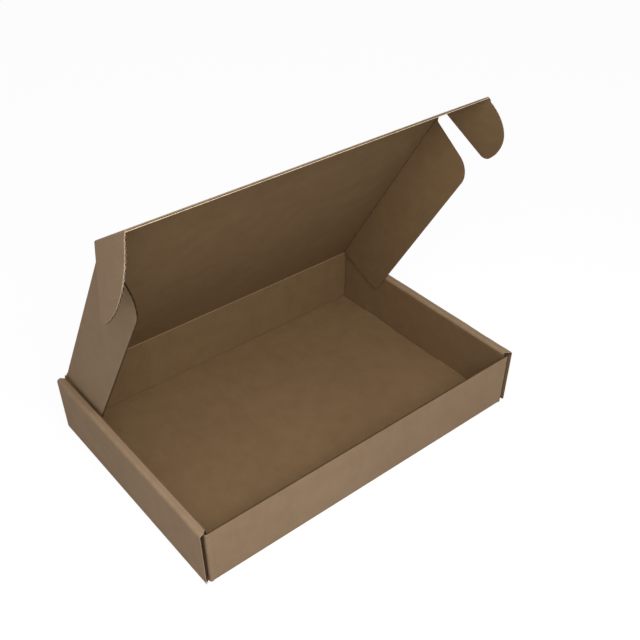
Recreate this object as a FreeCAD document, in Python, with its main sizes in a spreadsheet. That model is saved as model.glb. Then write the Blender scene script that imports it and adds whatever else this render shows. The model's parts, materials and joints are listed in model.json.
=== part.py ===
import FreeCAD, Part
import math
import os
import re
import Sketcher

# A corrugated mailer box, die cut and folded from one sheet of kraft E-flute board.
# The frame: +X along the length, -Y out of the front wall, +Z up, and the origin at
# the middle of the tray's underside. The lid stands open, with its flaps half folded.

doc = FreeCAD.newDocument("mailer_box")
Z_AXIS = FreeCAD.Vector(0, 0, 1)

# Driving sizes in millimetres, angles in degrees.
SIZES = {
    # the board and the tray
    "board": 1.5,
    "length": 300,
    "depth": 200,
    "wall_height": 51,
    "front_drop": 2.5,
    "hinge_rise": 0.5,
    # the rolled side walls
    "outer_lean": 1.6,
    "inner_lean": 1,
    "roll_radius": 2.6,
    "fold_radius": 2,
    "base_fold_radius": 1.2,
    "ear_play": 0.25,
    "ply_gap": 0.2,
    "roll_front_setback": 3.2,
    "roll_back_setback": 2,
    "bend_margin": 0.5,
    # the corner flaps and the locking tabs
    "corner_flap_length": 42,
    "corner_flap_foot": 0.5,
    "tab_width": 38,
    "tab_spacing": 96,
    "slot_play": 0.25,
    # the lid and its flaps
    "crease_gap": 0.15,
    "hinge_gap": 0.3,
    "flap_play": 0.3,
    "flap_floor_gap": 1,
    "flap_shoulder": 0.45,
    "flap_rear_setback": 1.2,
    "flap_rear_taper": 5,
    "flap_rear_radius": 8,
    "flap_front_taper": 4.6,
    "flap_front_radius": 16,
    # the tuck flap and its ears
    "front_play": 1.8,
    "tuck_floor_gap": 0.5,
    "notch": 3.3,
    "ear_lift": 1.35,
    "ear_root": 3.6,
    "ear_tip_radius": 5,
    # the angles at which the folds stand in the open box
    "lid_angle": 59.2,
    "tuck_angle": 26.5,
    "left_ear_angle": 71.6,
    "right_ear_angle": 63,
}

sheet = doc.addObject("Spreadsheet::Sheet", "Sizes")
for row, (alias, number) in enumerate(SIZES.items(), start=1):
    sheet.set(f"A{row}", alias)
    sheet.set(f"B{row}", str(number))
    sheet.setAlias(f"B{row}", alias)
doc.recompute()


def with_sheet(formula):
    """Put the sheet's name before each size in a formula, so that an object can be bound to it."""
    return re.sub(r"[a-z_]+", lambda word: f"Sizes.{word[0]}", formula)


def value(formula):
    """The number that a formula of sizes comes to now."""
    return float(sheet.evalExpression(with_sheet(formula)))


# Sizes that follow from the driving ones, as formulas of the sheet.
HALF_LENGTH = "( length / 2 )"
HALF_DEPTH = "( depth / 2 )"
# across a rolled wall, from the outside in: outer ply, pocket for the ear, corner flap, inner ply
POCKET_WIDTH = "( board + 2 * ear_play )"
OUTER_PLY_INSIDE = f"( {HALF_LENGTH} - board )"
CORNER_FLAP_OUTSIDE = f"( {OUTER_PLY_INSIDE} - {POCKET_WIDTH} )"
INNER_PLY_OUTSIDE = f"( {CORNER_FLAP_OUTSIDE} - board - ply_gap )"
INNER_PLY_INSIDE = f"( {INNER_PLY_OUTSIDE} - board )"
INNER_FACE_Y = f"( {HALF_DEPTH} - board )"
FRONT_HEIGHT = "( wall_height - front_drop )"
HINGE_HEIGHT = "( wall_height + hinge_rise )"
# the front and back walls are flat as far as the bend into a corner flap
WALL_END = f"( {CORNER_FLAP_OUTSIDE} - fold_radius - bend_margin )"
# the lid's creases: the side and front ones turn about the inner liner
LID_HALF_WIDTH = f"( {INNER_PLY_INSIDE} - flap_play - board )"
LID_LENGTH = f"( {HALF_DEPTH} - board / 2 + {HALF_DEPTH} + front_play )"
LID_UNDERSIDE = f"( {HINGE_HEIGHT} - board / 2 )"
LID_REAR_EDGE = "( board / 2 + hinge_gap )"
FLAP_DEPTH = f"( {LID_UNDERSIDE} - board - flap_floor_gap )"
FLAP_REAR = f"( {LID_REAR_EDGE} + flap_rear_setback )"
FLAP_FRONT = f"( {LID_LENGTH} - front_play - board - flap_play )"
TUCK_DEPTH = f"( {LID_UNDERSIDE} - tuck_floor_gap )"
EAR_HEIGHT = f"( {TUCK_DEPTH} - notch )"
EAR_CREASE_LOW = f"( {CORNER_FLAP_OUTSIDE} + ear_play )"
EAR_CREASE_HIGH = f"( {EAR_CREASE_LOW} + inner_lean )"


def new_body(label):
    body = doc.addObject("PartDesign::Body", label)
    body.Label = label
    return body


def origin_plane(body, role):
    return next(f for f in body.Origin.OriginFeatures if f.Role == role)


def new_sketch(body, name, role, height="0"):
    """A sketch on one of the body's own origin planes, raised along that plane's normal."""
    sketch = body.newObject("Sketcher::SketchObject", name)
    sketch.AttachmentSupport = [(origin_plane(body, role), "")]
    sketch.MapMode = "FlatFace"
    sketch.setExpression("AttachmentOffset.Base.z", with_sheet(height))
    return sketch


def pin_point(sketch, edge, end, x, y):
    """Tie one end of an edge to formulas for its place in the sketch."""
    for kind, axis, formula in (("DistanceX", -2, x), ("DistanceY", -1, y)):
        number = value(formula)
        if abs(number) < 1e-9:
            sketch.addConstraint(Sketcher.Constraint("PointOnObject", edge, end, axis))
        else:
            index = sketch.addConstraint(Sketcher.Constraint(kind, -1, 1, edge, end, number))
            sketch.setExpression(f"Constraints[{index}]", with_sheet(formula))


def add_polygon(sketch, corners):
    """A closed outline through corners, each given by two formulas."""
    places = [FreeCAD.Vector(value(x), value(y), 0) for x, y in corners]
    first = sketch.GeometryCount
    for here, there in zip(places, places[1:] + places[:1]):
        sketch.addGeometry(Part.LineSegment(here, there), False)
    count = len(corners)
    for k, (x, y) in enumerate(corners):
        before = first + (k - 1) % count
        sketch.addConstraint(Sketcher.Constraint("Coincident", before, 2, first + k, 1))
        pin_point(sketch, first + k, 1, x, y)


def polygon_sketch(body, name, role, outlines, height="0"):
    sketch = new_sketch(body, name, role, height)
    for corners in outlines:
        add_polygon(sketch, corners)
    return sketch


def rectangle(x0, x1, y0, y1):
    return [(x0, y0), (x1, y0), (x1, y1), (x0, y1)]


def pad(body, name, sketch, thickness, midplane=False):
    feature = body.newObject("PartDesign::Pad", name)
    feature.Profile = sketch
    feature.setExpression("Length", with_sheet(thickness))
    feature.Midplane = midplane
    doc.recompute()
    return feature


def pocket(body, name, sketch, thickness, reverse=False):
    """Cut a sketch's outlines out of the body, and make sure that something was cut."""
    before = body.Shape.Volume
    feature = body.newObject("PartDesign::Pocket", name)
    feature.Profile = sketch
    feature.setExpression("Length", with_sheet(thickness))
    feature.Reversed = reverse
    doc.recompute()
    if not body.Shape.Volume < before:
        raise ValueError(f"{name} cuts nothing")
    return feature


def mirror(body, name, features):
    feature = body.newObject("PartDesign::Mirrored", name)
    feature.Originals = features
    feature.MirrorPlane = (origin_plane(body, "YZ_Plane"), [""])
    body.Tip = feature
    doc.recompute()
    return feature


def round_edges(body, name, radius, is_wanted):
    """Round each straight edge whose middle and direction are wanted."""
    base = body.Tip
    names = []
    for k, edge in enumerate(base.Shape.Edges, start=1):
        if edge.Curve.TypeId == "Part::GeomLine":
            ends = [v.Point for v in edge.Vertexes]
            middle = (ends[0] + ends[1]) * 0.5
            if is_wanted(middle, ends[1] - ends[0]):
                names.append(f"Edge{k}")
    if not names:
        raise ValueError(f"{name} finds no edge to round")
    feature = body.newObject("PartDesign::Fillet", name)
    feature.Base = (base, names)
    feature.setExpression("Radius", with_sheet(radius))
    body.Tip = feature
    doc.recompute()
    return feature


def near(a, b):
    return abs(a - b) < 0.02


def along_y_at(x, z):
    """Wanted edges: those that run along Y at x or -x, and at height z."""
    x, z = value(x), value(z)
    return lambda mid, run: abs(run.y) > 50 and near(abs(mid.x), x) and near(mid.z, z)


# The tray. The sheet's middle panel is the base. Each side panel goes up as an outer ply,
# over a flat top as wide as the wall, and down again as an inner ply, whose tabs lock in
# slots of the base. The front and back walls are single plies, and their corner flaps are
# caught inside the rolled walls, with a pocket left in front for the lid's ears.
def make_tray():
    body = new_body("tray")
    base = polygon_sketch(
        body, "base_outline", "XY_Plane",
        [rectangle(f"-{WALL_END}", WALL_END, f"-{HALF_DEPTH}", HALF_DEPTH)],
    )
    pad(body, "base", base, "board")

    top_outside = f"( {HALF_LENGTH} + outer_lean )"
    top_inside = f"( {INNER_PLY_INSIDE} + inner_lean )"
    under_top = "( wall_height - board )"
    inner_foot = "( board + ply_gap )"
    roll = polygon_sketch(
        body, "roll_section", "XZ_Plane",
        [[
            (f"( {INNER_PLY_INSIDE} - board )", "0"),
            (HALF_LENGTH, "0"),
            (top_outside, "wall_height"),
            (top_inside, "wall_height"),
            (INNER_PLY_INSIDE, inner_foot),
            (INNER_PLY_OUTSIDE, inner_foot),
            (f"( {top_inside} + board )", under_top),
            (f"( {top_outside} - board )", under_top),
            (OUTER_PLY_INSIDE, "board"),
            (f"( {INNER_PLY_INSIDE} - board )", "board"),
        ]],
    )
    right_roll = pad(body, "right_rolled_wall", roll, "depth", midplane=True)
    mirror(body, "left_rolled_wall", [right_roll])
    round_edges(body, "base_fold", "fold_radius", along_y_at(HALF_LENGTH, "0"))
    round_edges(body, "roll_outer_bend", "roll_radius", along_y_at(top_outside, "wall_height"))
    round_edges(body, "roll_inner_bend", "roll_radius", along_y_at(top_inside, "wall_height"))

    # the top strip runs slantwise back from the outer ply's ends to the shorter inner ply
    ends = []
    for sx in ("", "-"):
        for sy, setback in (("", "roll_back_setback"), ("-", "roll_front_setback")):
            outside = f"{sx}{OUTER_PLY_INSIDE}"
            ply_end = f"{sy}( {HALF_DEPTH} - {setback} )"
            past_end = f"{sy}( {HALF_DEPTH} + board )"
            ends.append([
                (outside, past_end),
                (outside, f"{sy}{HALF_DEPTH}"),
                (f"{sx}( {OUTER_PLY_INSIDE} - {setback} )", ply_end),
                (f"{sx}( {INNER_PLY_INSIDE} - board )", ply_end),
                (f"{sx}( {INNER_PLY_INSIDE} - board )", past_end),
            ])
    above_walls = "( wall_height + board )"
    end_sketch = polygon_sketch(body, "roll_ends", "XY_Plane", ends, above_walls)
    pocket(body, "roll_end_cuts", end_sketch, f"{above_walls} - {inner_foot}")

    # through the base: a relief at each corner, and the slots that take the locking tabs
    slot_inside = f"( {INNER_PLY_INSIDE} - slot_play )"
    slot_outside = f"( {INNER_PLY_OUTSIDE} + slot_play )"
    tab_near = "( tab_spacing / 2 - tab_width / 2 )"
    tab_far = "( tab_spacing / 2 + tab_width / 2 )"
    cuts = []
    tabs = []
    for sx in ("", "-"):
        for sy in ("", "-"):
            cuts.append(rectangle(
                f"{sx}{WALL_END}", f"{sx}{OUTER_PLY_INSIDE}",
                f"{sy}( {HALF_DEPTH} - fold_radius - bend_margin )",
                f"{sy}( {HALF_DEPTH} + board )",
            ))
            cuts.append(rectangle(
                f"{sx}{slot_inside}", f"{sx}{slot_outside}",
                f"{sy}( {tab_near} - slot_play )", f"{sy}( {tab_far} + slot_play )",
            ))
            tabs.append(rectangle(
                f"{sx}( {INNER_PLY_INSIDE} + slot_play )", f"{sx}{INNER_PLY_OUTSIDE}",
                f"{sy}{tab_near}", f"{sy}{tab_far}",
            ))
    cut_sketch = polygon_sketch(body, "base_cuts", "XY_Plane", cuts)
    pocket(body, "corner_reliefs_and_slots", cut_sketch, "board", reverse=True)
    tab_sketch = polygon_sketch(body, "tab_outlines", "XY_Plane", tabs, "ply_gap")
    pad(body, "locking_tabs", tab_sketch, f"{inner_foot} + ply_gap")

    outer_y = value(HALF_DEPTH)
    for side, y, height in (
        ("front", INNER_FACE_Y, FRONT_HEIGHT),
        ("back", f"-{HALF_DEPTH}", f"( {HINGE_HEIGHT} + board / 2 )"),
    ):
        outline = rectangle(f"-{WALL_END}", WALL_END, "0", height)
        sketch = polygon_sketch(body, f"{side}_wall_outline", "XZ_Plane", [outline], y)
        pad(body, f"{side}_wall", sketch, "board")
    round_edges(
        body, "wall_folds", "base_fold_radius",
        lambda mid, run: abs(run.x) > 50 and near(abs(mid.y), outer_y) and near(mid.z, 0),
    )

    # a corner flap leans with the inner ply that covers it, and its foot stands in the relief
    lean = FreeCAD.Vector(value("inner_lean"), 0, value("wall_height"))
    for side, sy in (("front", "-"), ("back", "")):
        outline = [
            (f"( {WALL_END} - inner_lean )", f"{sy}{HALF_DEPTH}"),
            (CORNER_FLAP_OUTSIDE, f"{sy}{HALF_DEPTH}"),
            (CORNER_FLAP_OUTSIDE, f"{sy}( {HALF_DEPTH} - corner_flap_length )"),
            (f"( {CORNER_FLAP_OUTSIDE} - board )", f"{sy}( {HALF_DEPTH} - corner_flap_length )"),
            (f"( {CORNER_FLAP_OUTSIDE} - board )", f"{sy}{INNER_FACE_Y}"),
            (f"( {WALL_END} - inner_lean )", f"{sy}{INNER_FACE_Y}"),
        ]
        sketch = polygon_sketch(
            body, f"{side}_corner_outline", "XY_Plane", [outline], "corner_flap_foot",
        )
        tall = f"{FRONT_HEIGHT} - corner_flap_foot"
        flap = pad(body, f"right_{side}_corner_flap", sketch, tall)
        flap.UseCustomVector = True
        flap.Direction = lean
        flap.AlongSketchNormal = True
        doc.recompute()
        mirror(body, f"left_{side}_corner_flap", [flap])

    round_edges(
        body, "corner_bends", "fold_radius",
        lambda mid, run: abs(run.z) > 30 and near(abs(mid.y), outer_y)
        and value(WALL_END) < abs(mid.x) < value(OUTER_PLY_INSIDE),
    )
    hinge_top = value(f"( {HINGE_HEIGHT} + board / 2 )")
    round_edges(
        body, "hinge_edge", "board * 0.499",
        lambda mid, run: abs(run.x) > 50 and near(mid.z, hinge_top),
    )
    return body


# The lid panel, flat from the hinge to the front crease. Its long edges are the outside
# of the folds that turn down into the side flaps, so they are rounded.
def make_lid():
    body = new_body("lid")
    sketch = new_sketch(body, "lid_section", "XZ_Plane", LID_REAR_EDGE)
    half, thick = value(LID_HALF_WIDTH), value("board")
    point = FreeCAD.Vector
    quarter = math.pi / 2
    sketch.addGeometry([
        Part.LineSegment(point(-half - thick, 0, 0), point(half + thick, 0, 0)),
        Part.ArcOfCircle(Part.Circle(point(half, 0, 0), Z_AXIS, thick), 0, quarter),
        Part.LineSegment(point(half, thick, 0), point(-half, thick, 0)),
        Part.ArcOfCircle(Part.Circle(point(-half, 0, 0), Z_AXIS, thick), quarter, 2 * quarter),
    ], False)
    for first, start, second, end in ((0, 2, 1, 1), (1, 2, 2, 1), (2, 2, 3, 1), (3, 2, 0, 1)):
        sketch.addConstraint(Sketcher.Constraint("Coincident", first, start, second, end))
    sketch.addConstraint(Sketcher.Constraint("PointOnObject", 0, 1, -1))
    for arc, sign in ((1, ""), (3, "-")):
        pin_point(sketch, arc, 3, f"{sign}{LID_HALF_WIDTH}", "0")
        end = 2 if arc == 1 else 1
        pin_point(sketch, arc, end, f"{sign}{LID_HALF_WIDTH}", "board")
    sketch.addConstraint(Sketcher.Constraint("PointOnObject", 0, 2, -1))
    pad(body, "lid_panel", sketch, f"{LID_LENGTH} - crease_gap - {LID_REAR_EDGE}")
    return body


# A side flap, drawn flat: x runs along its crease from the hinge, y is its depth. It starts
# as long as the lid, over the front wall's top, and below that its edges are cut back and
# its corners rounded, so that it drops inside the tray.
def make_side_flap(label):
    body = new_body(label)
    outline = [
        (FLAP_REAR, "crease_gap"),
        (f"( {LID_LENGTH} - flap_shoulder )", "crease_gap"),
        (FLAP_FRONT, f"( {LID_UNDERSIDE} - {FRONT_HEIGHT} - flap_shoulder )"),
        (f"( {FLAP_FRONT} - flap_front_taper )", FLAP_DEPTH),
        (f"( {FLAP_REAR} + flap_rear_taper )", FLAP_DEPTH),
    ]
    sketch = polygon_sketch(body, f"{label}_outline", "XY_Plane", [outline])
    pad(body, f"{label}_panel", sketch, "board")
    deep = value(FLAP_DEPTH)
    middle = value(FLAP_FRONT) / 2
    for end, radius, ahead in (
        ("front", "flap_front_radius", 1),
        ("rear", "flap_rear_radius", -1),
    ):
        round_edges(
            body, f"{label}_{end}_corner", radius,
            lambda mid, run: abs(run.z) > 1e-6 and near(mid.y, deep)
            and (mid.x - middle) * ahead > 0,
        )
    return body


# The tuck flap, drawn flat: x across the box, y from the lid's front crease. It is as
# wide as the tray past a short notch, and its ends slope in as the rolled walls do.
def make_tuck_flap():
    body = new_body("tuck_flap")
    high = f"( {EAR_CREASE_HIGH} - crease_gap )"
    low = f"( {EAR_CREASE_LOW} - crease_gap )"
    outline = [
        (f"-{LID_HALF_WIDTH}", "crease_gap"),
        (LID_HALF_WIDTH, "crease_gap"),
        (LID_HALF_WIDTH, "notch"),
        (high, "notch"),
        (low, TUCK_DEPTH),
        (f"-{low}", TUCK_DEPTH),
        (f"-{high}", "notch"),
        (f"-{LID_HALF_WIDTH}", "notch"),
    ]
    sketch = polygon_sketch(body, "tuck_outline", "XY_Plane", [outline])
    pad(body, "tuck_panel", sketch, "board")
    return body


# An ear, drawn flat: x runs down its crease from the notch, y is how far it reaches. It is
# a quarter round with a small round tip, so that it slides into the pocket without catching,
# and past its root it is cut short enough to stand clear above the base.
def make_ear(label):
    body = new_body(label)
    sketch = new_sketch(body, f"{label}_outline", "XY_Plane")
    high, lift, root = value(EAR_HEIGHT), value("ear_lift"), value("ear_root")
    tip, gap = value("ear_tip_radius"), value("crease_gap")
    point = FreeCAD.Vector
    reach = high - lift
    tip_y = root + math.sqrt((reach - tip) ** 2 - tip**2)
    meet = math.atan2(tip_y - root, tip)
    sketch.addGeometry([
        Part.LineSegment(point(0, tip_y, 0), point(0, gap, 0)),
        Part.LineSegment(point(0, gap, 0), point(high, gap, 0)),
        Part.LineSegment(point(high, gap, 0), point(high, root - lift, 0)),
        Part.LineSegment(point(high, root - lift, 0), point(reach, root, 0)),
        Part.ArcOfCircle(Part.Circle(point(0, root, 0), Z_AXIS, reach), 0, meet),
        Part.ArcOfCircle(Part.Circle(point(tip, tip_y, 0), Z_AXIS, tip), meet, math.pi),
    ], False)
    for first in range(4):
        sketch.addConstraint(Sketcher.Constraint("Coincident", first, 2, first + 1, 1))
    for first, second in ((4, 5), (5, 0)):
        sketch.addConstraint(Sketcher.Constraint("Tangent", first, 2, second, 1))
    pin_point(sketch, 1, 1, "0", "crease_gap")
    pin_point(sketch, 2, 1, EAR_HEIGHT, "crease_gap")
    pin_point(sketch, 3, 1, EAR_HEIGHT, "( ear_root - ear_lift )")
    pin_point(sketch, 4, 3, "0", "ear_root")
    pin_point(sketch, 4, 1, f"( {EAR_HEIGHT} - ear_lift )", "ear_root")
    sketch.addConstraint(Sketcher.Constraint("Vertical", 0))
    index = sketch.addConstraint(Sketcher.Constraint("Radius", 5, tip))
    sketch.setExpression(f"Constraints[{index}]", with_sheet("ear_tip_radius"))
    pad(body, f"{label}_panel", sketch, "board")
    return body


def turn(axis, degrees):
    return FreeCAD.Placement(FreeCAD.Vector(), FreeCAD.Rotation(FreeCAD.Vector(*axis), degrees))


def shift(x, y, z):
    return FreeCAD.Placement(FreeCAD.Vector(x, y, z), FreeCAD.Rotation())


X, Y, Z = (1, 0, 0), (0, 1, 0), (0, 0, 1)

make_tray()
lid = make_lid()
side_flaps = {"left": make_side_flap("left_side_flap"), "right": make_side_flap("right_side_flap")}
tuck_flap = make_tuck_flap()
ears = {"left": make_ear("left_ear"), "right": make_ear("right_ear")}

# The lid's frame: at the middle of the hinge, x across the box, y from the front crease
# back to the hinge, z out of the lid's outer face, on its inner face. Its panel lies at
# negative y, as in the closed box.
hinge_y = value(f"{HALF_DEPTH} - board / 2")
half_board = value("board / 2")
on_hinge = shift(0, hinge_y, value(HINGE_HEIGHT)) * turn(X, -value("lid_angle"))
lid_frame = on_hinge * shift(0, 0, -half_board)
lid.Placement = lid_frame

# A side flap's outline is turned until its x runs from the hinge to the front and its
# depth hangs square to the lid, with its outer face outward.
half_width = value(LID_HALF_WIDTH)
side_flaps["right"].Placement = (
    lid_frame * shift(half_width, 0, 0) * turn(Y, 90) * turn(Z, -90)
)
side_flaps["left"].Placement = (
    lid_frame * shift(-half_width - 2 * half_board, 0, 0) * turn(Y, 90) * turn(Z, -90)
)

# The tuck flap's frame: at the middle of the front crease, y down the flap.
tuck_frame = (
    lid_frame * shift(0, -value(LID_LENGTH), 0) * turn(X, value("tuck_angle")) * turn(Z, 180)
)
tuck_flap.Placement = tuck_frame

# An ear turns about its sloping crease, on the flap's inner face.
slope = math.degrees(math.atan2(value("inner_lean"), value(EAR_HEIGHT)))
crease_x, notch = value(EAR_CREASE_HIGH), value("notch")
for side, sign in (("right", -1), ("left", 1)):
    fold = value(f"{side}_ear_angle")
    crease = tuck_frame * shift(sign * crease_x, notch, 0) * turn(Z, sign * slope)
    if sign < 0:
        ears[side].Placement = crease * turn(Y, -fold) * turn(Z, 90)
    else:
        over = turn(X, 180) * turn(Z, -90) * shift(0, 0, -2 * half_board)
        ears[side].Placement = crease * turn(Y, fold) * over

doc.recompute()
for obj in doc.Objects:
    if "Invalid" in obj.State or "Error" in obj.State:
        raise ValueError(f"{obj.Name} did not build: {obj.State}")

os.makedirs("parts", exist_ok=True)
for body in [o for o in doc.Objects if o.TypeId == "PartDesign::Body"]:
    if body.Shape.isNull() or not body.Shape.isValid():
        raise ValueError(f"{body.Label} has no valid shape")
    if len(body.Shape.Solids) != 1:
        raise ValueError(f"{body.Label} is not one solid")
    body.Shape.exportStep(f"parts/{body.Label}.step")
    box = body.Shape.BoundBox
    print(
        f"{body.Label}: {body.Shape.Volume:.0f} mm3,"
        f" x {box.XMin:.2f} {box.XMax:.2f}, y {box.YMin:.2f} {box.YMax:.2f},"
        f" z {box.ZMin:.2f} {box.ZMax:.2f}"
    )
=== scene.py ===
import bmesh
import bpy
import json
import math
from collections import namedtuple
from mathutils import Matrix, Vector, noise


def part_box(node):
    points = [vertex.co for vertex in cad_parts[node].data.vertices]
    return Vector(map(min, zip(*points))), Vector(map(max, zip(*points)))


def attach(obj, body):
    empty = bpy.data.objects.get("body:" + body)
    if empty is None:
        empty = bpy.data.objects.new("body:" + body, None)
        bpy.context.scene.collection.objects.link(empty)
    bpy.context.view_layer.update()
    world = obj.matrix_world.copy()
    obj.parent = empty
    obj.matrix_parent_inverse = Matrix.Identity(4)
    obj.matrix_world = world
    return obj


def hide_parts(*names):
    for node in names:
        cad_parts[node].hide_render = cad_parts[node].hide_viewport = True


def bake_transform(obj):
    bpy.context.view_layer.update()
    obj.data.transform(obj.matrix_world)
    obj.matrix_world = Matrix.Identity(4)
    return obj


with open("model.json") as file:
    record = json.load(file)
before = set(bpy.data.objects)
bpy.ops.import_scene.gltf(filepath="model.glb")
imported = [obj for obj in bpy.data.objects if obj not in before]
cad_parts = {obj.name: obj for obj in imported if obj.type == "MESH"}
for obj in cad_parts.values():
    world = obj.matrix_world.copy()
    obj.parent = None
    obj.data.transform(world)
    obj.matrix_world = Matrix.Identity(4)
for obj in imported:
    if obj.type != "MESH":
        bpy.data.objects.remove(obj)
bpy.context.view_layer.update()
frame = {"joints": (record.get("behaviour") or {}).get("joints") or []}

# The base and the rolled side walls: the middle of the die-cut sheet of kraft board, which is
# two liners with a fluted medium glued between them. The side panels go up, over a flat top
# and down again inside. The flutes run from front to back, so the ends of the rolls show them.

MM = 0.001


def in_mm(place):
    """A place of the frame in millimetres, which all the board's sizes are in."""
    return [round(part / MM, 3) for part in place]


TRAY_LOW, TRAY_HIGH = (in_mm(corner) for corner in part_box("tray"))
DEPTH = TRAY_HIGH[1] - TRAY_LOW[1]
BOARD = 1.5
HALF = BOARD / 2.0
LINER = 0.25
MEDIUM = 0.2
FLUTE = 3.3
WAVE_STEPS = 8
WAVE_FLATTENED = 0.15
# the medium stands back from a cut edge, unless the edge is frayed
RECESS = 1.2
FRAYED_RECESS = 0.05
# the die crushes the board by this share of its thickness, this far from a cut edge
CRUSH = 0.16
CRUSHED = 1.4
CRUSH_STEPS = (0.35, 0.8, CRUSHED)


class Signal:
    """A socket of a finish. Sums on it add Math nodes."""

    def __init__(self, finish, socket):
        self.finish = finish
        self.socket = socket

    def math(self, operation, *others):
        inputs = dict(enumerate(others))
        return self.finish.add("ShaderNodeMath", {"operation": operation}, inputs)

    def __add__(self, other):
        return self.math("ADD", self, other)

    def __sub__(self, other):
        return self.math("SUBTRACT", self, other)

    def __rsub__(self, other):
        return self.math("SUBTRACT", other, self)

    def __mul__(self, other):
        return self.math("MULTIPLY", self, other)

    __radd__ = __add__
    __rmul__ = __mul__

    def sine(self):
        return self.math("SINE", self)

    def clipped(self, low, high):
        """0 below low, 1 above high, and smooth between them."""
        settings = {"interpolation_type": "SMOOTHSTEP"}
        inputs = {"Value": self, "From Min": low, "From Max": high}
        return self.finish.add("ShaderNodeMapRange", settings, inputs)


class Finish:
    """What a material or the surroundings look like, built up from nodes."""

    def __init__(self, owner):
        owner.use_nodes = True
        self.owner = owner
        self.tree = owner.node_tree
        self.tree.nodes.clear()

    def add(self, kind, settings, inputs, output=0):
        node = self.tree.nodes.new(kind)
        for key, setting in settings.items():
            setattr(node, key, setting)
        for key, given in inputs.items():
            if isinstance(given, Signal):
                self.tree.links.new(given.socket, node.inputs[key])
            else:
                node.inputs[key].default_value = given
        return Signal(self, node.outputs[output]) if node.outputs else None

    def mix(self, factor, first, second):
        settings = {"data_type": "RGBA"}
        return self.add("ShaderNodeMix", settings, {0: factor, 6: first, 7: second}, 2)

    def noise(self, where, scale, detail, rough=0.5):
        inputs = {"Vector": where, "Scale": scale, "Detail": detail, "Roughness": rough}
        return self.add("ShaderNodeTexNoise", {}, inputs)

    def stretched(self, where, factors):
        settings = {"operation": "MULTIPLY"}
        return self.add("ShaderNodeVectorMath", settings, {0: where, 1: factors})


def linear(red, green, blue):
    """A colour as it looks on screen, 0 to 255, as Blender's numbers."""
    def one(level):
        level /= 255.0
        return level / 12.92 if level <= 0.04045 else ((level + 0.055) / 1.055) ** 2.4
    return (one(red), one(green), one(blue), 1.0)


def kraft_finish(name, light, dark, crease, worn, washboard, torn):
    """Uncoated kraft paper: soft clouds, fibres along the mill's direction, a few specks.

    The flutes under it show as a faint washboard. It is worn pale on the outside of a fold,
    painted dark on the inside of a fold and on pressed lines as shade in the crease, and
    mottled where the die tore it. Scales are per metre.
    """
    finish = Finish(bpy.data.materials.new(name))
    where = finish.add("ShaderNodeAttribute", {"attribute_name": "board_place"}, {}, "Vector")
    across = finish.add("ShaderNodeSeparateXYZ", {}, {"Vector": where}, 0)
    clouds = finish.noise(where, scale=11.0, detail=3.0)
    blotches = finish.noise(where, scale=70.0, detail=3.0)
    grain = finish.stretched(where, (420.0, 90.0, 420.0))
    fibres = finish.noise(grain, scale=1.0, detail=3.0, rough=0.6)
    fuzz = finish.noise(where, scale=1300.0, detail=2.0, rough=0.6)
    wave = (across * (2.0 * math.pi / (FLUTE * MM))).sine()
    tone = clouds * 0.3 + blotches * 0.28 + fibres * 0.2
    tone = tone + fuzz * (0.12 + torn) + wave * (0.008 * washboard)
    colour = finish.mix(tone.clipped(0.23 + 0.5 * torn, 0.67 + 0.5 * torn), dark, light)
    specks = finish.noise(where, scale=380.0, detail=1.0).clipped(0.77, 0.82)
    colour = finish.mix(specks * 0.4, colour, crease)
    fold = finish.add("ShaderNodeAttribute", {"attribute_name": "fold"}, {}, "Fac")
    rubbed = finish.noise(where, scale=190.0, detail=3.0, rough=0.7)
    outside = fold.clipped(0.1, 1.0) * rubbed.clipped(0.25, 0.8)
    colour = finish.mix(outside * 0.22, colour, worn)
    # painted shade: where fold is negative the colour goes to the crease colour, which also serves
    # the specks
    inside = (0.0 - fold + rubbed * 0.4).clipped(0.7, 1.1)
    colour = finish.mix(inside * 0.85, colour, crease)
    height = wave * (4e-6 * washboard) + fibres * 9e-6 + fuzz * 4e-6
    bump = {"Strength": 1.0, "Distance": 1.0, "Height": height}
    normal = finish.add("ShaderNodeBump", {}, bump)
    rough = fibres * 0.16 + 0.76
    shader = finish.add(
        "ShaderNodeBsdfPrincipled", {},
        {"Base Color": colour, "Roughness": rough, "Normal": normal, "Specular IOR Level": 0.2},
    )
    finish.add("ShaderNodeOutputMaterial", {}, {"Surface": shader})
    return finish.owner


finishes = (
    kraft_finish(
        "outside_liner", light=linear(160, 134, 107), dark=linear(144, 119, 93),
        crease=linear(82, 60, 40), worn=linear(186, 158, 126), washboard=1.0, torn=0.0,
    ),
    # the inside liner is the same kraft as the outside one, given darker, warmer colours: painted
    # shade of the box's inside
    kraft_finish(
        "inside_liner", light=linear(137, 111, 79), dark=linear(123, 98, 68),
        crease=linear(66, 47, 30), worn=linear(182, 152, 116), washboard=1.0, torn=0.0,
    ),
    kraft_finish(
        "cut_liner", light=linear(232, 210, 182), dark=linear(168, 142, 112),
        crease=linear(110, 84, 58), worn=linear(196, 168, 134), washboard=0.0, torn=0.5,
    ),
    # the medium is a darker kraft, painted darker still as shade in the flute hollows; cut edges
    # in shade take this finish too
    kraft_finish(
        "fluted_medium", light=linear(66, 48, 31), dark=linear(46, 33, 20),
        crease=linear(34, 24, 15), worn=linear(96, 74, 50), washboard=0.0, torn=0.2,
    ),
)
OUTSIDE, INSIDE, CUT, FLUTE_SHADE = range(4)

# a place on the board's middle line: its normal points to the outside liner, fold is 1 where
# the board is bent and -1 where it is pressed and painted dark as shade, and room is the radius
# of the fold there
Knot = namedtuple("Knot", "point normal distance fold room")
FLAT_ROOM = 9.0
# the inside liner stays this far from the centre of a tight fold
TIGHTEST = 0.04

# the worn shoulder beside a fold, and how far from it the board is flat again: at most
# this share of the panel
SHOULDER = 0.3
SHOULDER_FOLD = 0.85
FOLD_EASE = 2.0
FOLD_EASE_SHARE = 0.4
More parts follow.
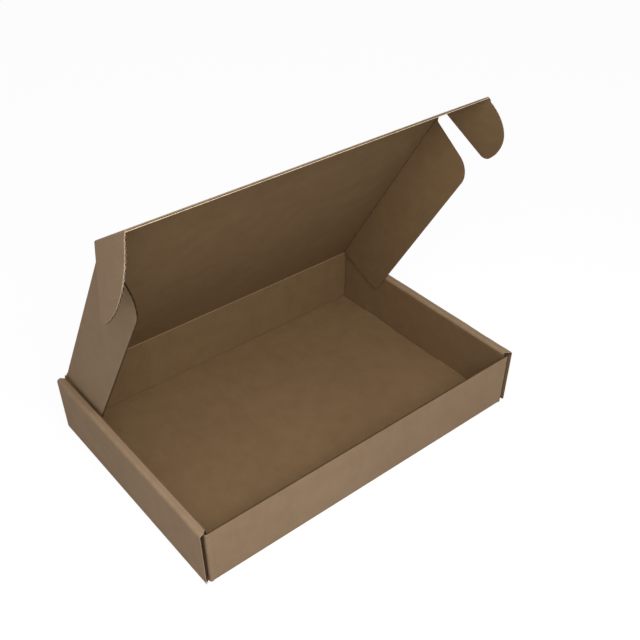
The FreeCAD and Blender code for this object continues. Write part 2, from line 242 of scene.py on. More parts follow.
# the fold value over the arc of a fold with a painted shadow line, which is -1 where the shade is
# painted
SHADOW_LINE_FOLDS = (0.6, 0.4, 0.0, -1.0, -1.0, 0.0, 0.0, 0.0, 0.0)


def along_line(marks):
    """Knots through (point, fold, room), with the outside to the right of the way they go."""
    knots, length = [], 0.0
    for k, (point, fold, room) in enumerate(marks):
        ahead = marks[min(k + 1, len(marks) - 1)][0] - marks[max(k - 1, 0)][0]
        if k:
            length += (point - marks[k - 1][0]).length
        knots.append(Knot(point, Vector((ahead.y, -ahead.x)).normalized(), length, fold, room))
    return knots


def between(line, distance):
    """The knot at a distance along the line."""
    for a, b in zip(line, line[1:]):
        if distance <= b.distance + 1e-9:
            share = (distance - a.distance) / max(b.distance - a.distance, 1e-9)
            return Knot(
                a.point.lerp(b.point, share), a.normal.lerp(b.normal, share).normalized(),
                distance, a.fold + (b.fold - a.fold) * share, a.room + (b.room - a.room) * share,
            )
    return line[-1]


def refined(line, distances):
    """The same line with more knots."""
    more = [between(line, d) for d in distances if 0.0 < d < line[-1].distance]
    return sorted(line + more, key=lambda knot: knot.distance)


def folded(corners, radii=()):
    """The board's middle line through corners, rounded at the inner ones, fine near its ends.

    A negative radius is a fold with a painted shadow line along its outside.
    """
    marks = [(Vector(corners[0]), 0.0, FLAT_ROOM)]
    for k in range(1, len(corners) - 1):
        before, here, after = (Vector(corners[n]) for n in (k - 1, k, k + 1))
        come, go = (here - before).normalized(), (after - here).normalized()
        turn = come.angle_signed(go)
        radius, shadow_line = abs(radii[k - 1]), radii[k - 1] < 0.0
        tangent = radius * math.tan(abs(turn) / 2.0)
        start, end = here - come * tangent, here + go * tangent
        centre = here + (go - come).normalized() * (radius / math.cos(abs(turn) / 2.0))
        flat_before = min(FOLD_EASE, (start - before).length * FOLD_EASE_SHARE)
        flat_after = min(FOLD_EASE, (after - end).length * FOLD_EASE_SHARE)
        marks.append((start - come * flat_before, 0.0, FLAT_ROOM))
        marks.append((start - come * SHOULDER, SHOULDER_FOLD, FLAT_ROOM))
        for n, pressed in enumerate(SHADOW_LINE_FOLDS):
            arm = start - centre
            arm.rotate(Matrix.Rotation(-turn * n / (len(SHADOW_LINE_FOLDS) - 1), 2))
            marks.append((centre + arm, pressed if shadow_line else 1.0, radius))
        marks.append((end + go * SHOULDER, 0.0 if shadow_line else SHOULDER_FOLD, FLAT_ROOM))
        marks.append((end + go * flat_after, 0.0, FLAT_ROOM))
    marks.append((Vector(corners[-1]), 0.0, FLAT_ROOM))
    line = along_line(marks)
    length = line[-1].distance
    return refined(line, [d for gap in CRUSH_STEPS for d in (gap, length - gap)])


def squeezed(gap):
    """How much of its thickness the board keeps this far from a cut edge."""
    share = min(1.0, max(0.0, gap / CRUSHED))
    return 1.0 - CRUSH + CRUSH * share * (2.0 - share)


def stations(start, end, rows):
    """Places across a panel, closer together at its edges."""
    length = end - start
    shares = (0.1, 0.2, 0.3)
    steps = [0.0] + [min(gap, length * share) for gap, share in zip(CRUSH_STEPS, shares)]
    low, high = [start + s for s in steps], [end - s for s in reversed(steps)]
    middle = [low[-1] + (high[0] - low[-1]) * n / rows for n in range(1, rows)]
    return low + middle + high


# a torn edge's lips: how far each liner's goes into the medium and into its own liner, how
# wide a lip is, and how far it stays back from the cut
LIP_OUTSIDE = 0.2
LIP_INSIDE = 0.3
LIP_SEAT = 0.01
LIP_WIDE = 0.5
LIP_BACK = 0.02
# the crease pieces' grain runs this far from one point of their outline to the next, and
# their points count as just outside the board's middle
GRAIN_STEP = 0.3
SKIN = 0.001


class Sheet:
    """The papers of one piece of board, gathered into one mesh."""

    def __init__(self, name, place):
        self.name = name
        self.place = place
        self.points, self.marks, self.folds, self.faces, self.slots = [], [], [], [], []

    def point(self, knot, along, offset):
        self.points.append(self.place(knot.point + knot.normal * offset, along, knot.fold))
        self.marks += (knot.distance * MM, along * MM, offset * MM)
        self.folds.append(knot.fold if offset > 0.0 else -knot.fold)

    def paper(self, line, reach, low, high, slot, cut=CUT, rows=0, recess=0.0, keep=None):
        """One paper along the line, from offset low to offset high of the board's middle."""
        first = len(self.points)
        for knot in line:
            start, end = reach(knot)
            spots = stations(start + recess, end - recess, rows) if rows else (start, end)
            for along in spots:
                share = keep(knot, along - start, end - along) if keep else 1.0
                self.point(knot, along, low(knot) * share)
                self.point(knot, along, high(knot) * share)
        wide = len(spots)
        last = len(line) - 1

        def corner(k, row, side):
            return first + 2 * (k * wide + row) + side

        def face(which, *corners):
            self.faces.append(corners)
            self.slots.append(which)

        for k in range(last):
            for row in range(wide - 1):
                face(slot(line[k]), corner(k, row, 1), corner(k, row + 1, 1),
                     corner(k + 1, row + 1, 1), corner(k + 1, row, 1))
                face(slot(line[k]), corner(k, row, 0), corner(k + 1, row, 0),
                     corner(k + 1, row + 1, 0), corner(k, row + 1, 0))
            face(cut, corner(k, 0, 0), corner(k, 0, 1), corner(k + 1, 0, 1), corner(k + 1, 0, 0))
            face(cut, corner(k, wide - 1, 0), corner(k + 1, wide - 1, 0),
                 corner(k + 1, wide - 1, 1), corner(k, wide - 1, 1))
        for row in range(wide - 1):
            face(cut, corner(0, row, 0), corner(0, row + 1, 0),
                 corner(0, row + 1, 1), corner(0, row, 1))
            face(cut, corner(last, row, 0), corner(last, row, 1),
                 corner(last, row + 1, 1), corner(last, row + 1, 0))

    def board(self, line, reach, rows=1, folds="", joins="", flutes=True, frayed=False,
              outside=lambda knot: OUTSIDE, raw=CUT, torn=False):
        """Two liners with the fluted medium between them.

        The sides are a and z, where the line starts and ends, and l and h, the low and high
        ends of its reach. One that folds is closed by liner, one that joins carries on in
        the next sheet, and the others are cut. Where it is frayed the medium stands out
        as far as the liners. The outside liner's cut edge is pale, or another finish, raw.
        Where it is torn, the die has spread both liners to thicker lips at the high end.
        """
        length = line[-1].distance
        inner_face = HALF - LINER

        def keep(knot, before, behind):
            gaps = {"a": knot.distance, "z": length - knot.distance, "l": before, "h": behind}
            cuts = [gap for side, gap in gaps.items() if side not in folds + joins]
            return squeezed(min([CRUSHED] + cuts))

        def inside(knot):
            return -min(HALF, knot.room - TIGHTEST)

        self.paper(
            line, reach, lambda knot: inner_face, lambda knot: HALF,
            outside, cut=raw, rows=rows, keep=keep,
        )
        # the inside liner's cut edges have the dark medium finish unless torn: painted shade, as
        # in the flutes
        self.paper(
            line, reach, inside, lambda knot: inside(knot) + LINER,
            lambda knot: INSIDE, cut=CUT if torn else FLUTE_SHADE, rows=rows, keep=keep,
        )
        if flutes:
            steps = max(1, round(length / FLUTE)) * WAVE_STEPS
            edge = FRAYED_RECESS if frayed else RECESS
            places = [edge + (length - 2 * edge) * n / steps for n in range(steps + 1)]

            def wave(knot):
                rise = inner_face - MEDIUM / 2.0 - WAVE_FLATTENED * abs(knot.fold)
                return rise * math.sin(2.0 * math.pi * knot.distance / FLUTE)

            # the medium's faces and unfrayed cut edges are dark: painted shade of the flute
            # hollows
            self.paper(
                [between(line, place) for place in places], reach,
                lambda knot: wave(knot) - MEDIUM / 2.0, lambda knot: wave(knot) + MEDIUM / 2.0,
                lambda knot: FLUTE_SHADE, cut=CUT if frayed else FLUTE_SHADE,
                rows=rows, recess=edge, keep=keep,
            )
        if torn:
            for below, above, which in (
                (inner_face - LIP_OUTSIDE, inner_face + LIP_SEAT, raw),
                (-inner_face - LIP_SEAT, -inner_face + LIP_INSIDE, CUT),
            ):
                self.paper(
                    line, lambda knot: (reach(knot)[1] - LIP_WIDE, reach(knot)[1] - LIP_BACK),
                    lambda knot: below, lambda knot: above, lambda knot: which,
                    cut=which, keep=keep,
                )
        closing = (lambda knot: -inner_face, lambda knot: inner_face, outside, OUTSIDE)
        if "a" in folds:
            self.paper((line[0], between(line, LINER)), reach, *closing)
        if "z" in folds:
            self.paper((between(line, length - LINER), line[-1]), reach, *closing)
        if "l" in folds:
            self.paper(line, lambda knot: (reach(knot)[0], reach(knot)[0] + LINER), *closing)
        if "h" in folds:
            self.paper(line, lambda knot: (reach(knot)[1] - LINER, reach(knot)[1]), *closing)

    def sweep(self, outline, spots, pressed=()):
        """A closed outline, carried along a fold and closed at both ends.

        The points named in pressed are on the inside of the fold, which is painted dark as shade
        in the crease.
        """
        first, count = len(self.points), len(outline)
        for along in spots:
            for k, at in enumerate(outline):
                fold = -1.0 if k in pressed else 1.0
                knot = Knot(Vector(at), Vector((0.0, 0.0)), GRAIN_STEP * k, fold, FLAT_ROOM)
                self.point(knot, along, SKIN)
        for n in range(len(spots) - 1):
            for k in range(count):
                here, there = first + n * count + k, first + n * count + (k + 1) % count
                self.faces.append((here, there, there + count, here + count))
        last = first + (len(spots) - 1) * count
        self.faces.append(tuple(range(first + count - 1, first - 1, -1)))
        self.faces.append(tuple(range(last, last + count)))
        self.slots += [OUTSIDE] * (len(self.faces) - len(self.slots))

    def mesh(self):
        mesh = bpy.data.meshes.new(self.name)
        mesh.from_pydata([point * MM for point in self.points], [], self.faces)
        for finish in finishes:
            mesh.materials.append(finish)
        mesh.polygons.foreach_set("material_index", self.slots)
        places = mesh.attributes.new("board_place", "FLOAT_VECTOR", "POINT")
        places.data.foreach_set("vector", self.marks)
        folds = mesh.attributes.new("fold", "FLOAT", "POINT")
        folds.data.foreach_set("value", self.folds)
        solid = bmesh.new()
        solid.from_mesh(mesh)
        bmesh.ops.recalc_face_normals(solid, faces=solid.faces)
        solid.to_mesh(mesh)
        solid.free()
        piece = bpy.data.objects.new(self.name, mesh)
        bpy.context.scene.collection.objects.link(piece)
        return piece

    def rides(self, body, *nodes):
        """The finished piece moves with one body."""
        piece = self.mesh()
        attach(piece, body)
        if nodes:
            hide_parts(*nodes)

    def bends(self, first, second, start, end):
        """The finished piece lies over a fold and stays where it is built."""
        piece = self.mesh()
        start * MM
        end * MM
        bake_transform(piece)


def ripple(along, seed):
    """How far hand folding and handling push a bend in or out, in millimetres."""
    slow = noise.noise(Vector((along * 0.035, seed, 0.0)))
    quick = noise.noise(Vector((along * 0.11, seed + 7.0, 0.0)))
    return 0.22 * slow + 0.1 * quick


def lying(at, along, fold):
    """Where the base and its tabs are: the line runs across the box and up."""
    return Vector((at.x, along, at.y))


# the slots of the locking tabs: how far out they are, and their places from front to back,
# up to the relief cuts at the ends
SLOT_OUTSIDE, SLOT_INSIDE = 145.05, 143.27
SLOT_HALF = 19.25
TAB_MIDDLE = 48.0
RELIEF = 97.5
# the middle lines of the outer ply, the flat top and the inner ply, and their folds
OUTER_FOOT, OUTER_HEAD = 149.25, 150.8
INNER_HEAD, INNER_FOOT = 145.03, 144.05
INNER_END = 1.7
ROLL_TOP = 50.25
FOOT_FOLD, HEAD_FOLD = 1.25, 1.85
# where the foot ends and where the roll has its full depth: the inner ply is shorter, and
# the flat top is mitred from it to the outer ply
FOOT = 148.85
MITRE = 148.5
INNER_FRONT, INNER_BACK = 96.8, 98.0
BOX_INSIDE = 145.1
# only the folds above this height are rippled, and they sink so that no ripple stands up
RIPPLED = 40.0
RIPPLE_ACROSS = 0.6
RIPPLE_SINKS = 0.12

for side, sign in (("right", 1.0), ("left", -1.0)):
    roll = folded(
        [
            (SLOT_OUTSIDE, HALF), (OUTER_FOOT, HALF), (OUTER_HEAD, ROLL_TOP),
            (INNER_HEAD, ROLL_TOP), (INNER_FOOT, INNER_END),
        ],
        # only the left roll's inner bend has the painted shadow line
        [FOOT_FOLD, HEAD_FOLD, -HEAD_FOLD if side == "left" else HEAD_FOLD],
    )

    def roll_place(at, along, fold, sign=sign):
        bent = abs(fold) if at.y > RIPPLED else 0.0
        bump = ripple(along, 3.0 * sign) * bent
        height = at.y - RIPPLE_SINKS * bent + min(bump, RIPPLE_SINKS)
        return Vector((sign * (at.x + bump * RIPPLE_ACROSS), along, height))

    def roll_reach(knot):
        at = knot.point
        if at.y < BOARD and at.x < FOOT:
            return -RELIEF, RELIEF
        mitred = DEPTH / 2.0 - max(0.0, MITRE - at.x)
        return -max(INNER_FRONT, mitred), max(INNER_BACK, mitred)

    def roll_outside(knot):
        """The inner ply is outside liner rolled in, but has the darker inside finish: painted
        shade of the box's inside.
        """
        return INSIDE if knot.point.x < BOX_INSIDE and knot.point.y > BOARD else OUTSIDE

    sheet = Sheet(f"{side}_rolled_wall", roll_place)
    sheet.board(roll, roll_reach, rows=50, joins="a", outside=roll_outside)
    sheet.rides("tray")

BASE_END = 98.0
base = Sheet("base_panel", lying)
base.board(
    folded([(-SLOT_INSIDE, HALF), (SLOT_INSIDE, HALF)]),
    lambda knot: (-BASE_END, BASE_END), joins="azlh",
)
# the bridges of board beside the slots
bridge_ends = [-RELIEF]
for middle in (-TAB_MIDDLE, TAB_MIDDLE):
    bridge_ends += [middle - SLOT_HALF, middle + SLOT_HALF]
bridge_ends.append(RELIEF)
for sign in (1.0, -1.0):
    inner, outer = sorted((sign * SLOT_INSIDE, sign * SLOT_OUTSIDE))
    for low, high in zip(bridge_ends[::2], bridge_ends[1::2]):
        base.board(
            folded([(inner, HALF), (outer, HALF)]),
            lambda knot, low=low, high=high: (low, high), joins="azlh", flutes=False,
        )
base.rides("tray", "tray")

# The locking tabs: two on the foot of each inner ply, cut from the same board and pushed
# down through slots in the base to hold the roll shut.
TAB_HALF = 19.0
TAB_TOP, TAB_END = 1.75, 0.2
tabs = Sheet("locking_tabs", lying)
for sign in (1.0, -1.0):
    for middle in (-TAB_MIDDLE, TAB_MIDDLE):
        tabs.board(
            folded([(sign * INNER_FOOT, TAB_TOP), (sign * INNER_FOOT, TAB_END)]),
            lambda knot, middle=middle: (middle - TAB_HALF, middle + TAB_HALF),
            joins="a", flutes=False,
        )
tabs.rides("tray")

# The front wall: a single ply folded up from the base, with a raw cut top that shows the
# flutes. Its ends turn back into the rolled walls as corner flaps.
FRONT_HEIGHT = 48.5
WALL_LINE = DEPTH / 2.0 - HALF
WALL_FOOT = 1.9
WALL_HALF = 144.0
CORNER_LINE = 145.75
CORNER_END = 58.0
CORNER_FOOT = 0.15
CORNER_FOLD = 1.25
# the corner flaps lean with the rolled walls, from this far out
LEAN = 1.0 / 51.0
LEAN_START, LEAN_OVER = 143.0, 1.5


def wall_place(sign):
    def place(at, along, fold):
        lean = min(1.0, max(0.0, (abs(at.x) - LEAN_START) / LEAN_OVER))
        shift = math.copysign(lean * (along - CORNER_FOOT) * LEAN, at.x)
        return Vector((at.x + shift, sign * at.y, along))
    return place


def wall_reach(height):
    def reach(knot):
        on_wall = abs(knot.point.x) < WALL_HALF
        return (WALL_FOOT, height) if on_wall else (CORNER_FOOT, FRONT_HEIGHT)
    return reach


wall = folded(
    [
        (-CORNER_LINE, -CORNER_END), (-CORNER_LINE, -WALL_LINE),
        (CORNER_LINE, -WALL_LINE), (CORNER_LINE, -CORNER_END),
    ],
    [CORNER_FOLD, CORNER_FOLD],
)
# knots close to each side of the step between the wall's foot and the corner flaps'
step = [WALL_HALF + 0.02, WALL_HALF - 0.05]
step += [-place for place in step]
wall = refined(wall, [wall[-1].distance / 2.0 + place for place in sorted(step)])
front = Sheet("front_wall", wall_place(1.0))
# its outside liner's cut edges have the dark medium finish: painted shade along the top and at the
# corners
front.board(wall, wall_reach(FRONT_HEIGHT), joins="l", raw=FLUTE_SHADE)
front.rides("tray")

BASE_FOLD = 0.46
BASE_FOLD_START = 97.9
BASE_FOLD_TOP = 2.0


def base_fold(sheet_name, sign):
    """The fold from the base up into the front or back wall."""
    sheet = Sheet(sheet_name, lambda at, along, fold: Vector((along, sign * at.x, at.y)))
    corners = [(BASE_FOLD_START, HALF), (WALL_LINE, HALF), (WALL_LINE, BASE_FOLD_TOP)]
    sheet.board(
        folded(corners, [BASE_FOLD]), lambda knot: (-WALL_HALF, WALL_HALF),
        rows=60, joins="azlh", flutes=False,
    )
    sheet.rides("tray")


base_fold("front_base_fold", -1.0)

# The back wall: like the front wall, but folded over at its top into the lid. The lid's
# crease is one swept piece, which stays where it is built.
joints = {joint["name"]: joint for joint in frame["joints"]}
HINGE_BACK, HINGE_HEIGHT = in_mm(joints["lid_hinge"]["pos_m"])[1:]
# the lid stands as far open as its hinge can close
LID_ANGLE = -joints["lid_hinge"]["range_deg"][0]
BACK_HEIGHT = HINGE_HEIGHT - 0.4
back = Sheet("back_wall", wall_place(-1.0))
back.board(wall, wall_reach(BACK_HEIGHT), joins="l", folds="h")
back.rides("tray")
base_fold("back_base_fold", 1.0)


def heading(degrees):
    """A step of one millimetre in the direction of an angle."""
    turned = math.radians(degrees)
    return Vector((math.cos(turned), math.sin(turned)))


# the lid's crease: its length, the faces of its board, how far up the lid it goes and its foot
CREASE_HALF = 142.9
CREASE_STEPS = 40
CREASE_OUTSIDE, CREASE_INSIDE = 0.73, 0.68
CREASE_NEAR, CREASE_FAR = 0.5, 1.2
CREASE_FOOT = 50.9
axis = Vector((HINGE_BACK, HINGE_HEIGHT))
rise = heading(180.0 - LID_ANGLE)
outward = Vector((rise.y, -rise.x))
hinge_outline = [Vector((99.98, CREASE_FOOT))]
hinge_outline += [
    axis + heading(share * (90.0 - LID_ANGLE)) * CREASE_OUTSIDE for share in (0.0, 0.25, 0.5, 1.0)
]
hinge_outline += [
    axis + outward * CREASE_OUTSIDE + rise * CREASE_NEAR,
    axis + outward * CREASE_OUTSIDE + rise * CREASE_FAR,
    axis - outward * CREASE_OUTSIDE + rise * CREASE_FAR,
    axis - outward * CREASE_INSIDE + rise * CREASE_NEAR,
]
# a bead of board is squeezed out along the inside of the fold
hinge_outline += [
    Vector((98.45, 51.16)), Vector((98.3, 51.05)), Vector((98.26, 50.85)),
    Vector((98.36, 50.6)), Vector((98.52, 50.4)), Vector((99.0, 50.4)),
]
hinge = Sheet("hinge_crease", lambda at, along, fold: Vector((along, at.x, at.y)))
hinge.sweep(
    hinge_outline,
    [-CREASE_HALF + 2.0 * CREASE_HALF * n / CREASE_STEPS for n in range(CREASE_STEPS + 1)],
)
hinge.bends(
    "tray", "lid", Vector((0.0, HINGE_BACK, CREASE_FOOT)),
    Vector((0.0, axis.x + rise.x * CREASE_FAR, axis.y + rise.y * CREASE_FAR)),
)

# The lid: one flat panel from the hinge to the front crease. Its long sides round over into
# the side flaps.
LID_LENGTH = 201.05
LID_HALF = in_mm(joints["right_side_fold"]["pos_m"])[0]
LID_SIDE = LID_HALF + HALF
LID_FOLD = 0.749
LID_FRONT, LID_BACK = 0.15, 1.05
lid_frame = (
    Matrix.Translation((0.0, HINGE_BACK, HINGE_HEIGHT))
    @ Matrix.Rotation(math.radians(-LID_ANGLE), 4, "X")
    @ Matrix.Translation((0.0, 0.0, -HALF))
)
lid = Sheet("lid_panel", lambda at, along, fold: lid_frame @ Vector((at.x, along, at.y)))
lid.board(
    folded(
        [(LID_SIDE, 0.0), (LID_SIDE, HALF), (-LID_SIDE, HALF), (-LID_SIDE, 0.0)],
        [LID_FOLD, LID_FOLD],
    ),
    lambda knot: (-LID_LENGTH + LID_FRONT, -LID_BACK), folds="azlh",
)
lid.rides("lid", "lid")

# The side flaps: they hang square to the lid and drop inside the side walls. Their edges are
# cut back and their corners rounded so that they clear the front and back walls.
FLAP_DEEP = 48.25
FLAP_FOOT = 0.15
FLAP_SHOULDER = 1.8
FLAP_SHOULDER_WIDE = 3.15
FLAP_REAR, REAR_TAPER, REAR_ROUND = 2.25, 5.0 / 48.1, 8.0
FLAP_FRONT, FRONT_TAPER, FRONT_ROUND = 197.45, 4.6 / 46.45, 16.0
FLAP_STEP, FLAP_STEPS = 0.55, 86
FLAP_LAST_STEPS = (0.8, 0.35, 0.1, 0.0)
# the strip of liner over a flap's crease: its two faces, its depth and its ends
STRIP_OUTSIDE, STRIP_INSIDE = 142.98, 142.75
STRIP_TOP, STRIP_DEEP, STRIP_STEPS = 0.03, 0.21, 6
STRIP_FRONT, STRIP_MIDDLE, STRIP_BACK = LID_LENGTH - 0.6, 100.0, 2.3
STRIP_BENDS = 0.15


def flap_reach(knot):
    depth = knot.point.x

    def edge(taper, radius):
        centre = FLAP_DEEP - radius
        if depth < centre + radius * taper / math.hypot(1.0, taper):
            return taper * (depth - FLAP_FOOT)
        inner = taper * (centre - FLAP_FOOT) + radius * math.hypot(1.0, taper)
        return inner - math.sqrt(max(0.0, radius**2 - (depth - centre) ** 2))

    front = FLAP_FRONT - edge(FRONT_TAPER, FRONT_ROUND)
    if depth < FLAP_SHOULDER:
        share = (FLAP_SHOULDER - depth) / (FLAP_SHOULDER - FLAP_FOOT)
        front = FLAP_FRONT + share * FLAP_SHOULDER_WIDE
    return FLAP_REAR + edge(REAR_TAPER, REAR_ROUND), front


def spaced(distances):
    """A flat middle line with knots at the given distances, for a curved outline."""
    up = Vector((0.0, -1.0))
    return [Knot(Vector((at, 0.0)), up, at - distances[0], 0.0, FLAT_ROOM) for at in distances]


def flap_fold(name, body, sign):
    """The outside liner over the crease between the lid and a side flap."""
    strip = Sheet(name, lambda at, along, fold: lid_frame @ Vector((sign * at.x, along, at.y)))
    depths = [STRIP_TOP - STRIP_DEEP * n / STRIP_STEPS for n in range(STRIP_STEPS + 1)]
    outline = [(STRIP_OUTSIDE, z) for z in depths]
    outline += [(STRIP_INSIDE, z) for z in reversed(depths)]
    strip.sweep(outline, [-STRIP_FRONT, -STRIP_MIDDLE, -STRIP_BACK])
    middle = Vector((sign * CREASE_HALF, -STRIP_MIDDLE, 0.0))
    bend_end = Vector((sign * CREASE_HALF, -STRIP_MIDDLE, -STRIP_BENDS))
    strip.bends("lid", body, lid_frame @ middle, lid_frame @ bend_end)


for side, sign in (("right", 1.0), ("left", -1.0)):
    def flap_place(at, along, fold, sign=sign):
        return lid_frame @ Vector((sign * (LID_SIDE - at.y), -along, -at.x))

    depths = [FLAP_FOOT + FLAP_STEP * n for n in range(FLAP_STEPS)]
    depths += [FLAP_DEEP - gap for gap in FLAP_LAST_STEPS]
    flap = Sheet(f"{side}_flap_panel", flap_place)
    # the left flap's outside liner is cut in the dark medium finish: painted shade on its edge,
    # which faces away from the lamps
    flap.board(
        spaced(sorted(set(depths))), flap_reach, folds="a",
        raw=FLUTE_SHADE if side == "left" else CUT,
    )
    flap.rides(f"{side}_side_flap", f"{side}_side_flap")
    flap_fold(f"{side}_flap_crease", f"{side}_side_flap", sign)

# The tuck flap: the lid's front flap, as wide as the box, which goes down outside the front
# wall. It stands part folded, and the crease behind it stays where it is built.
TUCK_ANGLE = joints["tuck_fold"]["range_deg"][1]
TUCK_DEEP = 50.25
TUCK_HALF = in_mm(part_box("tuck_flap")[1])[0]
TUCK_CORNER = 1.0
TUCK_FOOT = 0.15
NOTCH, NOTCH_WIDE = 3.3, 0.1
TUCK_END = NOTCH + 0.3
front_crease = lid_frame @ Matrix.Translation((0.0, -LID_LENGTH, 0.0))
tuck_frame = (
    front_crease
    @ Matrix.Rotation(math.radians(TUCK_ANGLE), 4, "X")
    @ Matrix.Rotation(math.pi, 4, "Z")
)


def tuck_reach(knot):
    wide = abs(knot.point.x)
    low = TUCK_FOOT if wide <= LID_HALF else NOTCH
    if wide <= TUCK_HALF - TUCK_CORNER:
        return low, TUCK_DEEP
    return low, TUCK_END + (TUCK_HALF - wide) / TUCK_CORNER * (TUCK_DEEP - TUCK_END)


tuck = Sheet("tuck_panel", lambda at, along, fold: tuck_frame @ Vector((at.x, along, at.y)))
widths = [TUCK_HALF, TUCK_HALF - TUCK_CORNER, LID_HALF + NOTCH_WIDE, LID_HALF]
widths += [-wide for wide in reversed(widths)]
tuck.board(
    [
        Knot(Vector((wide, HALF)), Vector((0.0, 1.0)), TUCK_HALF - wide, 0.0, FLAT_ROOM)
        for wide in widths
    ],
    tuck_reach, folds="laz", raw=OUTSIDE, torn=True,
)
tuck.rides("tuck_flap", "tuck_flap")

# a crease piece: how far it laps over its panels outside, how far its pressed line reaches
# inside, and the levels of its outside, its inside and the line that stands just proud of it
FOLD_LAP = 0.25
FOLD_PRESS = 0.5
FOLD_OUTSIDE = 1.47
FOLD_INSIDE = 0.03
FOLD_PROUD = -0.02
FOLD_STEPS = 8
FOLD_FAR = FOLD_STEPS + 2


def fold_outline(degrees):
    """The section of a fold that opens outward: outside liner round a wedge of crushed board.

    On the inside it is a pressed line, which the sweep paints dark as shade. Point 0 is on the
    fixed side of the fold, and point FOLD_FAR on the other side.
    """
    ahead = heading(-degrees)
    out = Vector((-ahead.y, ahead.x))
    points = [Vector((-FOLD_LAP, FOLD_OUTSIDE))]
    for n in range(FOLD_STEPS + 1):
        step = heading(-degrees * n / FOLD_STEPS)
        points.append(Vector((-step.y, step.x)) * FOLD_OUTSIDE)
    points.append(ahead * FOLD_LAP + out * FOLD_OUTSIDE)
    points.append(ahead * FOLD_LAP + out * FOLD_INSIDE)
    points.append(ahead * FOLD_PRESS + out * FOLD_INSIDE)
    points.append(ahead * FOLD_PRESS + out * FOLD_PROUD)
    points.append(Vector((FOLD_PROUD * math.tan(math.radians(degrees) / 2.0), FOLD_PROUD)))
    points.append(Vector((-FOLD_PRESS, FOLD_PROUD)))
    points.append(Vector((-FOLD_PRESS, FOLD_INSIDE)))
    points.append(Vector((-FOLD_LAP, FOLD_INSIDE)))
    return points


# the points of that section that are on its pressed line, painted dark as shade
PRESSED_SHADE = range(FOLD_FAR + 2, FOLD_FAR + 7)
TUCK_CREASE_HALF = 141.4
TUCK_CREASE_STEPS = 20
tuck_outline = fold_outline(TUCK_ANGLE)
tuck_crease = Sheet(
    "tuck_crease", lambda at, along, fold: front_crease @ Vector((along, -at.x, at.y))
)
tuck_crease.sweep(
    tuck_outline,
    [
        -TUCK_CREASE_HALF + 2.0 * TUCK_CREASE_HALF * n / TUCK_CREASE_STEPS
        for n in range(TUCK_CREASE_STEPS + 1)
    ],
    PRESSED_SHADE,
)
ends = [
    front_crease @ Vector((0.0, -at.x, at.y)) for at in (tuck_outline[0], tuck_outline[FOLD_FAR])
]
tuck_crease.bends("lid", "tuck_flap", *ends)

# The ears: quarter rounds of single board on the tuck flap's ends, folded back on their
# creases to slide into the pockets. The die has frayed their edges.
EAR_LINE = in_mm(joints["right_ear_fold"]["pos_m"])[0]
EAR_TALL = TUCK_DEEP - NOTCH
EAR_LIFT = 1.35
EAR_ROOT = 3.6
EAR_TIP = 5.0
EAR_FOOT = 0.15
EAR_THIN = 0.4
EAR_LAST_STEP = 0.05
EAR_STEPS = 100
EAR_SLOPE = math.atan2(1.0, EAR_TALL)
EAR_CREASE_GAP, EAR_CREASE_STEPS = 0.1, 6
ear_round = EAR_TALL - EAR_LIFT
tip_centre = EAR_ROOT + math.sqrt((ear_round - EAR_TIP) ** 2 - EAR_TIP**2)
tip_meets = EAR_ROOT + (tip_centre - EAR_ROOT) * ear_round / (ear_round - EAR_TIP)
ear_far = tip_centre + EAR_TIP - EAR_LAST_STEP


def ear_reach(knot):
    """From the ear's lower edge to its round: a large arc that ends in a small one."""
    out = knot.point.x
    tip = math.sqrt(max(0.0, EAR_TIP**2 - (out - tip_centre) ** 2))
    if out < EAR_ROOT - EAR_LIFT:
        high = EAR_TALL
    elif out < EAR_ROOT:
        high = EAR_TALL - (out - EAR_ROOT + EAR_LIFT)
    elif out < tip_meets:
        high = math.sqrt(ear_round**2 - (out - EAR_ROOT) ** 2)
    else:
        high = EAR_TIP + tip
    low = EAR_TIP - tip if out > tip_centre else 0.0
    return low, max(high, low + EAR_THIN)


# the tuck flap's own frame is turned round, so its right end is on the minus side
for side, sign in (("right", -1.0), ("left", 1.0)):
    fold_angle = joints[f"{side}_ear_fold"]["range_deg"][1]
    crease = (
        tuck_frame
        @ Matrix.Translation((sign * EAR_LINE, NOTCH, 0.0))
        @ Matrix.Rotation(sign * EAR_SLOPE, 4, "Z")
    )
    turned = crease @ Matrix.Rotation(math.radians(sign * fold_angle), 4, "Y")

    def ear_place(at, along, fold, turned=turned, sign=sign):
        return turned @ Vector((sign * at.x, along, HALF - at.y))

    def strip_place(at, along, fold, crease=crease, sign=sign):
        return crease @ Vector((sign * at.x, along, at.y))

    ear = Sheet(f"{side}_ear_panel", ear_place)
    distances = [EAR_FOOT + (ear_far - EAR_FOOT) * n / EAR_STEPS for n in range(EAR_STEPS + 1)]
    ear.board(spaced(distances), ear_reach, folds="a", frayed=True)
    ear.rides(f"{side}_ear", f"{side}_ear")

    ear_outline = fold_outline(fold_angle)
    strip = Sheet(f"{side}_ear_crease", strip_place)
    length = EAR_TALL - 2.0 * EAR_CREASE_GAP
    spots = [EAR_CREASE_GAP + length * n / EAR_CREASE_STEPS for n in range(EAR_CREASE_STEPS + 1)]
    strip.sweep(ear_outline, spots, PRESSED_SHADE)
    ends = [strip_place(at, EAR_TALL / 2.0, 0.0) for at in (ear_outline[0], ear_outline[FOLD_FAR])]
    strip.bends("tuck_flap", f"{side}_ear", *ends)

# The pale floor the box stands on, and the plain white behind it. Both look white to the
# camera and in reflections, and the floor still takes the box's shadow.
WHITE = (1.0, 1.0, 1.0, 1.0)
FLOOR_GREY = (0.55, 0.55, 0.55, 1.0)
FLOOR_SIZE = 8.0
FLOOR_GAP = 0.0002


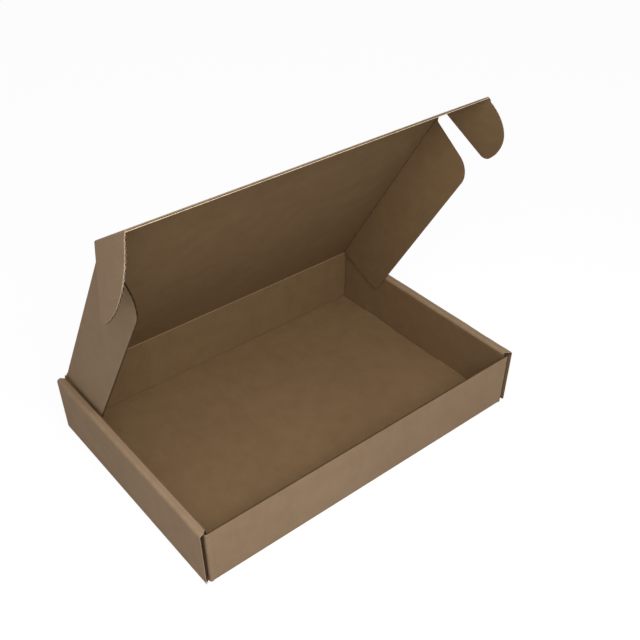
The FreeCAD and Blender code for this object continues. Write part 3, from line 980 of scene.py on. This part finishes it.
def white_seen(finish):
    """How far a ray sees plain white: it comes from the camera, a reflection or clear glass."""
    kinds = ("Is Camera Ray", "Is Glossy Ray", "Is Transmission Ray")
    camera_ray, glossy_ray, glass_ray = (
        finish.add("ShaderNodeLightPath", {}, {}, kind) for kind in kinds
    )
    return camera_ray + glossy_ray + glass_ray


bpy.ops.mesh.primitive_plane_add(size=FLOOR_SIZE, location=(0.0, 0.0, -FLOOR_GAP))
floor = bpy.context.object
floor.name = "floor"
pale = Finish(bpy.data.materials.new("pale_floor"))
seen = white_seen(pale)
matt = pale.add("ShaderNodeBsdfDiffuse", {}, {"Color": FLOOR_GREY})
glow = pale.add("ShaderNodeEmission", {}, {"Color": WHITE, "Strength": 1.16})
mixed = pale.add("ShaderNodeMixShader", {}, {0: seen * 0.8, 1: matt, 2: glow})
pale.add("ShaderNodeOutputMaterial", {}, {"Surface": mixed})
floor.data.materials.append(pale.owner)

surroundings = Finish(bpy.data.worlds.new("studio"))
bpy.context.scene.world = surroundings.owner
seen = white_seen(surroundings)
around = surroundings.add("ShaderNodeBackground", {}, {"Color": WHITE, "Strength": 0.34})
backdrop = surroundings.add("ShaderNodeBackground", {}, {"Color": WHITE})
mixed = surroundings.add("ShaderNodeMixShader", {}, {0: seen, 1: around, 2: backdrop})
surroundings.add("ShaderNodeOutputWorld", {}, {"Surface": mixed})

# Soft light: one lamp near the box in front and to the left, a higher one straight in front,
# and a weak low one on the left. Their places are in metres.
for name, place, aim, size, power in (
    ("near_lamp", (-0.25, -0.36, 0.5), (0.0, 0.0, 0.03), 0.35, 1.95),
    ("front_lamp", (0.0, -0.5, 0.7), (0.0, 0.0, 0.03), 0.4, 1.7),
    ("left_lamp", (-0.9, -0.2, 0.06), (-0.15, 0.0, 0.03), 0.3, 0.42),
):
    data = bpy.data.lights.new(name, "AREA")
    data.shape = "SQUARE"
    data.size = size
    data.energy = power
    lamp = bpy.data.objects.new(name, data)
    lamp.location = place
    lamp.rotation_euler = (Vector(aim) - Vector(place)).to_track_quat("-Z", "Y").to_euler()
    bpy.context.scene.collection.objects.link(lamp)

# The camera, as the photograph was taken: from the front left and above. Its focal length is
# in the photograph's pixels.
PHOTO_WIDE = 640.0
PHOTO_FOCAL = 909.278
SENSOR = 36.0
azimuth, elevation, roll_angle = (math.radians(a) for a in (-39.868, 36.601, 0.558))
target, distance = Vector((100.929, 83.763, 0.0)) * MM, 856.303 * MM
behind = Vector((
    math.sin(azimuth) * math.cos(elevation),
    -math.cos(azimuth) * math.cos(elevation),
    math.sin(elevation),
))
flat_right = Vector((math.cos(azimuth), math.sin(azimuth), 0.0))
flat_up = behind.cross(flat_right)
right = flat_right * math.cos(roll_angle) + flat_up * math.sin(roll_angle)
up = flat_up * math.cos(roll_angle) - flat_right * math.sin(roll_angle)
camera_data = bpy.data.cameras.new("camera")
camera_data.lens = PHOTO_FOCAL / PHOTO_WIDE * SENSOR
camera_data.sensor_width = SENSOR
camera_data.clip_start = 0.01
camera = bpy.data.objects.new("camera", camera_data)
facing = Matrix((right, up, behind)).transposed().to_4x4()
camera.matrix_world = Matrix.Translation(target + behind * distance) @ facing
bpy.context.scene.collection.objects.link(camera)
bpy.context.scene.camera = camera
bpy.context.scene.view_settings.view_transform = "Standard"
